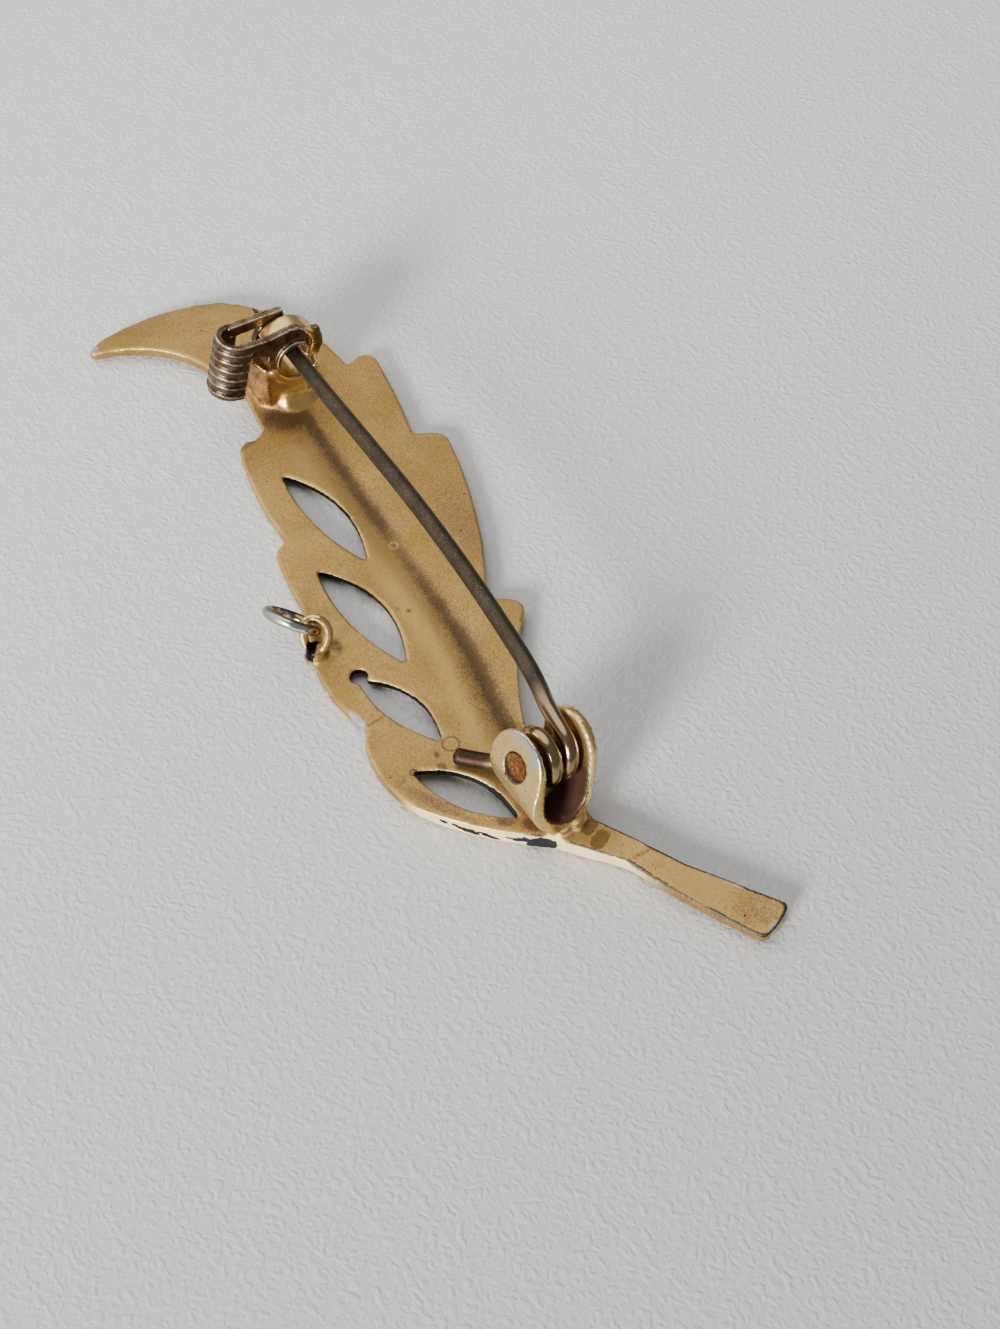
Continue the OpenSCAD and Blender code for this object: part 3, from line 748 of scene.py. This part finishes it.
def roundWire(path, radii, sides, closed=False):
    n = len(path)
    way = np.roll(path, -1, 0) - np.roll(path, 1, 0) if closed else np.gradient(path, axis=0)
    way /= np.linalg.norm(way, axis=1)[:, None]
    if closed:  # a ring lies in one plane
        across = np.tile(np.cross(path[0] - path[n // 2], path[n // 4] - path[3 * n // 4]), (n, 1))
    else:
        across = np.array([0, 1, 0]) - way * way[:, 1:2]
    across /= np.linalg.norm(across, axis=1)[:, None]
    upward = np.cross(way, across)
    angles = (np.arange(sides) * 2 * math.pi / sides)[None, :, None]
    rim = np.cos(angles) * across[:, None, :] + np.sin(angles) * upward[:, None, :]
    points = (path[:, None, :] + radii[:, None, None] * rim).reshape(-1, 3)
    faces = [(i * sides + k, i * sides + (k + 1) % sides, (i + 1) % n * sides + (k + 1) % sides,
        (i + 1) % n * sides + k) for i in range(n if closed else n - 1) for k in range(sides)]
    if not closed:
        faces += [tuple(range(sides))[::-1], tuple((n - 1) * sides + k for k in range(sides))]
    return points, faces


def roundedEnds(path, radii, bluntFirst, bluntLast):
    # closes the wire's ends to a dome with a small flat, over a length of wire, or not where that is 0
    reach = reachAlong(path)
    out = radii.copy()
    for blunt, away in ((bluntFirst, reach), (bluntLast, reach[-1] - reach)):
        near = away < blunt
        dome = np.maximum(0.0, 1 - ((blunt - away[near]) / max(blunt, 1e-9)) ** 2)
        out[near] = radii[near] * np.sqrt(dome * 0.75 + 0.02)
    return out


wireLook = {"metal": 0.96, "matt": 0.54, "polish": 0.38, "dust": (0.4, 0.36, 0.3), "sides": 28}


def wireFinish(name, look):
    material, flow = startFinish(name)
    cloud, speck = flow.grain(1.4, 3), flow.grain(0.12, 3, 0.6)
    warmth = flow.mark("warm")
    paint = (cloud * 0.5 + speck * 0.6).rise(0.35, 0.75).tint(look["dark"], look["warm"])
    paint = warmth.tint(paint, look["glow"])
    paint = ((speck - 0.5).rise(0.16, 0.24) * 0.35).tint(paint, wireLook["dust"])
    matt = wireLook["matt"] - warmth * wireLook["polish"] + (cloud - 0.5) * 0.1
    return endFinish(material, flow, {"Base Color": paint, "Metallic": wireLook["metal"], "Roughness": matt},
        speck + flow.grain(0.05, 2) * 0.6, 0.4, 0.012)


pinForm = {
    "lane": -0.66,
    "aside": 0.22,  # how far the turn leaves its lane before the stem
    "stem": [(4.9, -2.47, 5.55, 0.475), (6.2, -2.83, 5.66, 0.48), (8.5, -3.18, 5.84, 0.485),
        (14, -3.74, 6.08, 0.49), (20, -4.2, 6.05, 0.49), (26, -4.52, 5.73, 0.49), (31, -4.84, 5.22, 0.48),
        (35, -5.22, 4.63, 0.46), (38, -5.46, 4.06, 0.36), (41.4, -5.72, 3.32, 0.07)],  # place, radius
    "step": 0.16,
    "calm": 14,
    "blunt": 0.3,
    "dark": (0.04, 0.031, 0.021),
    "warm": (0.092, 0.073, 0.05),
    "glow": (0.31, 0.21, 0.125),
    "glowTo": (4.2, 6.5),
}


def makePin():
    f = pinForm
    loop = [coilPoint(-a, f["lane"] - f["aside"] * soft(np.array(a), 180, 260))
        for a in np.arange(30, 271, 5.0)]
    stem = throughRows(f["stem"], 12)
    radii = [hingeForm["wire"] / 2] * len(loop) + [p[3] for p in stem]
    path, radii = evenRun(loop + [p[:3] for p in stem], radii, f["step"])
    path = calmed(path, f["calm"])
    points, faces = roundWire(path, roundedEnds(path, radii, f["blunt"], 0), wireLook["sides"])
    piece = skinPiece("pinStem", points, faces, wireFinish("pinWire", f),
        {"warm": 1 - soft(points[:, 0], *f["glowTo"])})
    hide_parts("pin")
    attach(piece, "pin")


springForm = {
    "lane": 0.36,
    "tail": [(4.5, -0.25, 2.35), (5.7, 0.75, 1.8), (6.9, 1.72, 1.62), (7.25, 2, 1.6)],
    "step": 0.14,
    "calm": 10,
    "blunt": 0.22,
    "dark": (0.028, 0.015, 0.011),
    "warm": (0.07, 0.038, 0.024),
    "glow": (0.34, 0.23, 0.11),
    "glowTo": (4.4, 5.8),
}


def makeSpring():
    f = springForm
    path = [coilPoint(a, f["lane"]) for a in np.arange(-6, 271, 5.0)] + throughRows(f["tail"], 10)
    path, radii = evenRun(path, [hingeForm["wire"] / 2] * len(path), f["step"])
    path = calmed(path, f["calm"])
    points, faces = roundWire(path, roundedEnds(path, radii, f["blunt"], f["blunt"]), wireLook["sides"])
    piece = skinPiece("springTurn", points, faces, wireFinish("springWire", f),
        {"warm": 1 - soft(points[:, 0], *f["glowTo"])})
    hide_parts("spring")
    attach(piece, "frame")


ringForm = {
    "centre": (19.62, 4.67, 2.28),
    "face": (0.341, -0.678, 0.652),
    "radius": 1.5,
    "wire": 0.6,
    "steps": 120,
    "sides": 32,
    "silver": (0.72, 0.71, 0.66),
    # painted reflection of the gold leaf
    "leafReflection": (0.33, 0.2, 0.09),
    "darkerSides": (0.1, 0.09, 0.075),
    "rubbed": (0.27, 0.27, 0.23),
    "leafReflectionTo": (3.9, 4.9),
    "rubbedFrom": (5.2, 5.9),
}


def ringFinish():
    material, flow = startFinish("silverRing")
    speck = flow.grain(0.3, 2)
    rubbed = flow.mark("rubbed")
    leafReflection = (flow.mark("leafReflection") + (speck - 0.5) * 0.4).rise(0.3, 0.8)
    # darker on the two sides of the rim
    darkerSides = (flow.mark("darkerSides") + (speck - 0.5) * 0.5).rise(0.3, 0.9)
    paint = darkerSides.tint(leafReflection.tint(ringForm["silver"], ringForm["leafReflection"]), ringForm["darkerSides"])
    paint = (rubbed * 0.8).tint(paint, ringForm["rubbed"])
    return endFinish(material, flow, {"Base Color": paint, "Metallic": 1.0,
        "Roughness": 0.14 + speck * 0.08 + rubbed * 0.3}, speck, 0.15, 0.02)


def makeRing():
    f = ringForm
    face = Vector(f["face"]).normalized()
    side = face.cross(Vector((0, 0, 1))).normalized()
    other = face.cross(side)
    path = np.array([Vector(f["centre"]) + f["radius"] * (math.cos(a) * side + math.sin(a) * other)
        for a in np.linspace(0, 2 * math.pi, f["steps"], endpoint=False)])
    points, faces = roundWire(path, np.full(len(path), f["wire"] / 2), f["sides"], closed=True)
    lift = (points - np.repeat(path, f["sides"], axis=0)) / (f["wire"] / 2)
    piece = skinPiece("jumpRing", points, faces, ringFinish(), {
        # painted reflection: brown on the end of the ring nearest the leaf
        "leafReflection": 1 - soft(points[:, 1], *f["leafReflectionTo"]),
        "darkerSides": np.abs(lift @ np.array(face)) * 0.9,  # on the two sides of the rim, none on its crown
        "rubbed": soft(points[:, 1], *f["rubbedFrom"]),
    })
    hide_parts("jump_ring")
    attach(piece, "frame")


rivetLook = {"dark": (0.1, 0.036, 0.012), "bright": (0.4, 0.15, 0.036), "metal": 0.75, "matt": 0.5}


def dressRivet():
    material, flow = startFinish("rivetCopper")
    speck, lump = flow.grain(0.16, 4, 0.7), flow.grain(0.4, 2)
    paint = (speck * 0.7 + lump * 0.3).rise(0.38, 0.62).tint(rivetLook["dark"], rivetLook["bright"])
    endFinish(material, flow, {"Base Color": paint, "Metallic": rivetLook["metal"],
        "Roughness": rivetLook["matt"] - speck * 0.2}, speck + lump, 0.9, 0.05)
    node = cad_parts["rivet"]
    node.data.materials.clear()
    node.data.materials.append(material)


lockForm = {
    "voxel": 0.05,
    "rounds": 5,
    "ribBulge": (0.0006, 0.0035),
    "dark": (0.04, 0.025, 0.014),
    "bronze": (0.19, 0.122, 0.066),
    # tone of the rib crests: worn metal and painted highlight
    "worn": (0.5, 0.41, 0.29),
    "metal": 0.92,
    "matt": 0.36,
}


def lockFinish():
    material, flow = startFinish("lockBronze")
    cloud, speck = flow.grain(0.9, 3), flow.grain(0.1, 3, 0.6)
    ridgeWearAndSheen = flow.mark("ridgeWearAndSheen")
    paint = (cloud * 0.7 + speck * 0.5).rise(0.4, 0.8).tint(lockForm["dark"], lockForm["bronze"])
    # rib crests: worn metal and painted highlight
    worn = (ridgeWearAndSheen * 0.85 + (speck - 0.5) * 0.9 + (cloud - 0.5) * 0.7).rise(0.35, 1.0)
    return endFinish(material, flow, {"Base Color": worn.tint(paint, lockForm["worn"]),
        "Metallic": lockForm["metal"], "Roughness": lockForm["matt"] - ridgeWearAndSheen * 0.1 + (cloud - 0.5) * 0.2},
        speck + cloud * 2.0, 0.4, 0.015)


def makeLock():
    points, quads = evenSkin("catch_lock", lockForm["voxel"])
    points = relaxed(points, quads, lockForm["rounds"], np.ones(len(points)))
    bulge = bulgeOf(points, quads, pointNormals(points, quads), 3)
    piece = skinPiece("catchLever", points, quads, lockFinish(), {"ridgeWearAndSheen": soft(bulge, *lockForm["ribBulge"])})
    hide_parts("catch_lock")
    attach(piece, "lock")
    print("lock:", len(quads), "quads")


floorForm = {
    "half": 0.6,
    "tone": (0.79, 0.787, 0.775),
    "deep": (0.735, 0.73, 0.715),
    # painted shade: darker tone towards one side of the floor, for light falling off
    "far": (0.44, 0.42, 0.395),
    "shadeTowards": (-1.0, 0.25, 0),
    "shadeFrom": (-0.05, 0.07),
    "dots": (0.25, 0.25, 0.25),
    "dotSpacing": 4,
    "pebble": 0.6,
    "matt": 0.55,
}


def makeFloor():
    f = floorForm
    h = f["half"]
    mesh = bpy.data.meshes.new("surface")
    mesh.from_pydata([(-h, -h, 0), (h, -h, 0), (h, h, 0), (-h, h, 0)], [], [(0, 1, 2, 3)])
    floor = bpy.data.objects.new("surface", mesh)
    bpy.context.scene.collection.objects.link(floor)
    material, flow = startFinish("paleSurface")
    pebble, broad = flow.grain(f["pebble"] * 0.5, 2), flow.grain(30, 2)
    crease = (flow.grain(f["pebble"], 1.6) - 0.5).size().rise(0.0, 0.2)  # winding folds
    cell = flow.put("TexVoronoi", {"voronoi_dimensions": "2D"},
        {"Vector": flow.place(), "Scale": 1 / (f["dotSpacing"] * mm)})
    dot = (1 - cell.rise(0.012, 0.024)) * flow.grain(9, 1).rise(0.45, 0.6)
    # painted shade: the floor darkens towards one side, for light falling off across it
    away = flow.put("VectorMath", {"operation": "DOT_PRODUCT"}, {0: flow.place(), 1: f["shadeTowards"]}, "Value")
    paint = (pebble * 0.3 + crease * 0.25 + broad * 0.4).rise(0.3, 0.7).tint(f["deep"], f["tone"])
    paint = (away.rise(*f["shadeFrom"]) * 0.83).tint(paint, f["far"])
    paint = (dot * 0.6).tint(paint, f["dots"])
    endFinish(material, flow, {"Base Color": paint, "Roughness": f["matt"]}, pebble * 0.6 + crease * 0.7,
        0.38, 0.11)
    mesh.materials.append(material)


setCamera()
setLight()
makeFloor()
print("camera, light and floor are set")
makeLeaf()
makePin()
makeSpring()
makeRing()
dressRivet()
print("wires and rivet are made")
makeLock()
